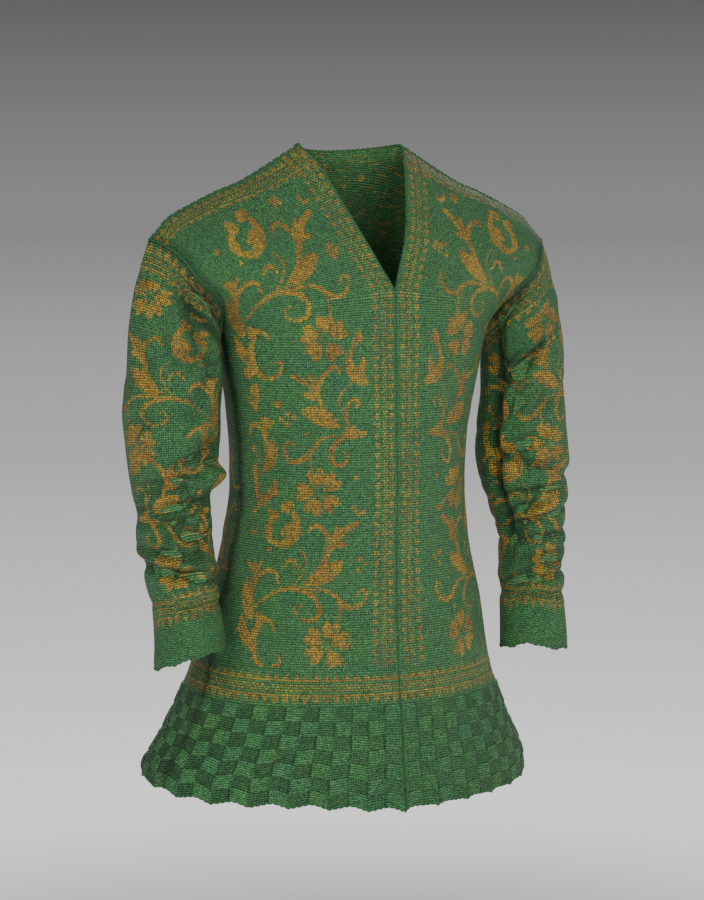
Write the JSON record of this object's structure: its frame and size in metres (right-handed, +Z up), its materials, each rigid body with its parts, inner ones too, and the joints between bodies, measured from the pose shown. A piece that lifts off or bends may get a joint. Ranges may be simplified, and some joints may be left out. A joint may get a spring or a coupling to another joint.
{
  "type": "knitted jacket",
  "caption": "Hip-length open-fronted knitted jacket in its worn form, with long sleeves, plain cuffs and a flared basketweave skirt border; hollow and open at neck, hem and cuffs.",
  "frame": {"origin": "midway between the two neck points, where the wearer's shoulders hold the jacket", "axes": "+Z up, the fronts face -Y, +X is the wearer's left"},
  "size_m": [0.49, 0.2956, 0.6521],
  "materials": {
    "knit": "knitted green silk with gold yarn motifs"
  },
  "bodies": {
    "root": {"front_right": "knit", "front_left": "knit", "back": "knit", "sleeve_right": "knit", "sleeve_left": "knit"}
  },
  "joints": []
}
